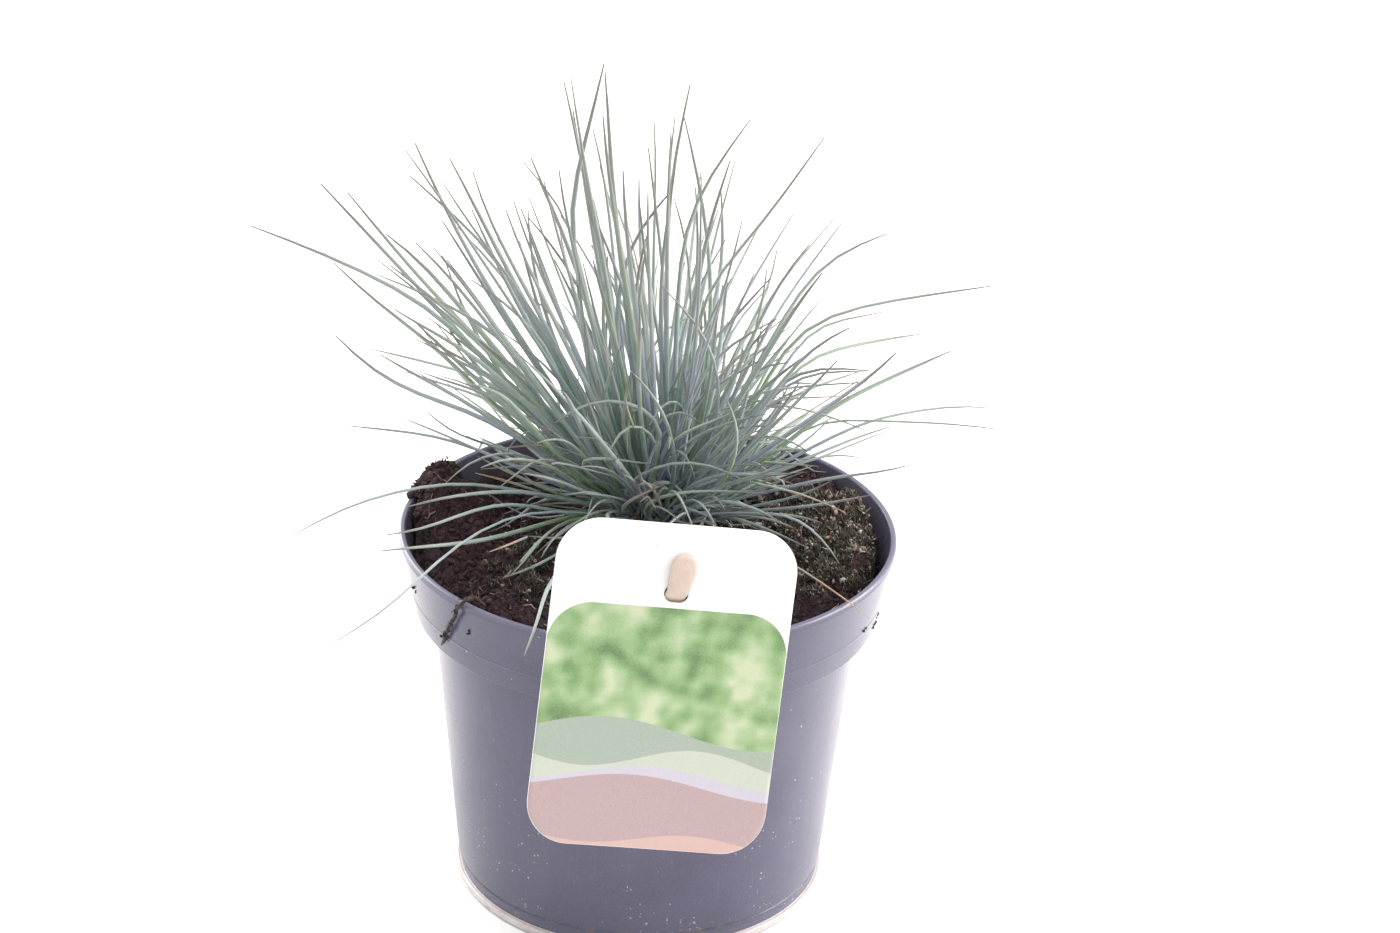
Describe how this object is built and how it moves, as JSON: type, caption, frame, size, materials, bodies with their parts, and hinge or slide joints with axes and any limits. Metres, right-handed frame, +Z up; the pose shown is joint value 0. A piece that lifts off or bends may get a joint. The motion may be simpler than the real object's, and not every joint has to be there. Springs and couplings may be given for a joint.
{
  "type": "potted blue fescue clump",
  "caption": "Clump of thin blue-grey grass leaves in a round plastic nursery pot of peat, with a plain printed plant label pegged at the rim.",
  "frame": {"origin": "middle of the pot's flat base, on the surface that it stands on", "axes": "+Z up along the pot's axis; -Y towards the side with the label; +X to the right as seen from that side"},
  "size_m": [0.1978, 0.1928, 0.2218],
  "materials": {
    "pot_plastic": "satin dark blue-grey polypropylene with dust and small scratches",
    "peat": "matt dark brown fibrous peat with mossy patches",
    "root_bark": "matt dark brown root",
    "label_plastic": null,
    "peg_plastic": "smooth bone-beige plastic",
    "leaf": "matt, slightly waxy blue-grey green"
  },
  "bodies": {
    "root": {"pot": "pot_plastic", "soil": "peat", "loose_root": "root_bark", "label_card": "label_plastic", "label_peg": "peg_plastic", "shoot_01": "leaf", "shoot_02": "leaf", "shoot_03": "leaf", "shoot_04": "leaf", "shoot_05": "leaf", "shoot_06": "leaf", "shoot_07": "leaf", "shoot_08": "leaf", "shoot_09": "leaf", "shoot_10": "leaf", "shoot_11": "leaf", "shoot_12": "leaf", "shoot_13": "leaf", "shoot_14": "leaf", "shoot_15": "leaf", "shoot_16": "leaf", "shoot_17": "leaf", "shoot_18": "leaf", "shoot_19": "leaf", "shoot_20": "leaf", "shoot_21": "leaf", "shoot_22": "leaf", "shoot_23": "leaf", "shoot_24": "leaf", "shoot_25": "leaf", "shoot_26": "leaf", "shoot_27": "leaf", "shoot_28": "leaf", "shoot_29": "leaf", "shoot_30": "leaf", "shoot_31": "leaf", "shoot_32": "leaf", "shoot_33": "leaf", "shoot_34": "leaf", "shoot_35": "leaf", "shoot_36": "leaf", "shoot_37": "leaf", "shoot_38": "leaf", "shoot_39": "leaf", "shoot_40": "leaf", "shoot_41": "leaf", "shoot_42": "leaf", "shoot_43": "leaf", "shoot_44": "leaf", "shoot_45": "leaf", "shoot_46": "leaf"}
  },
  "joints": []
}
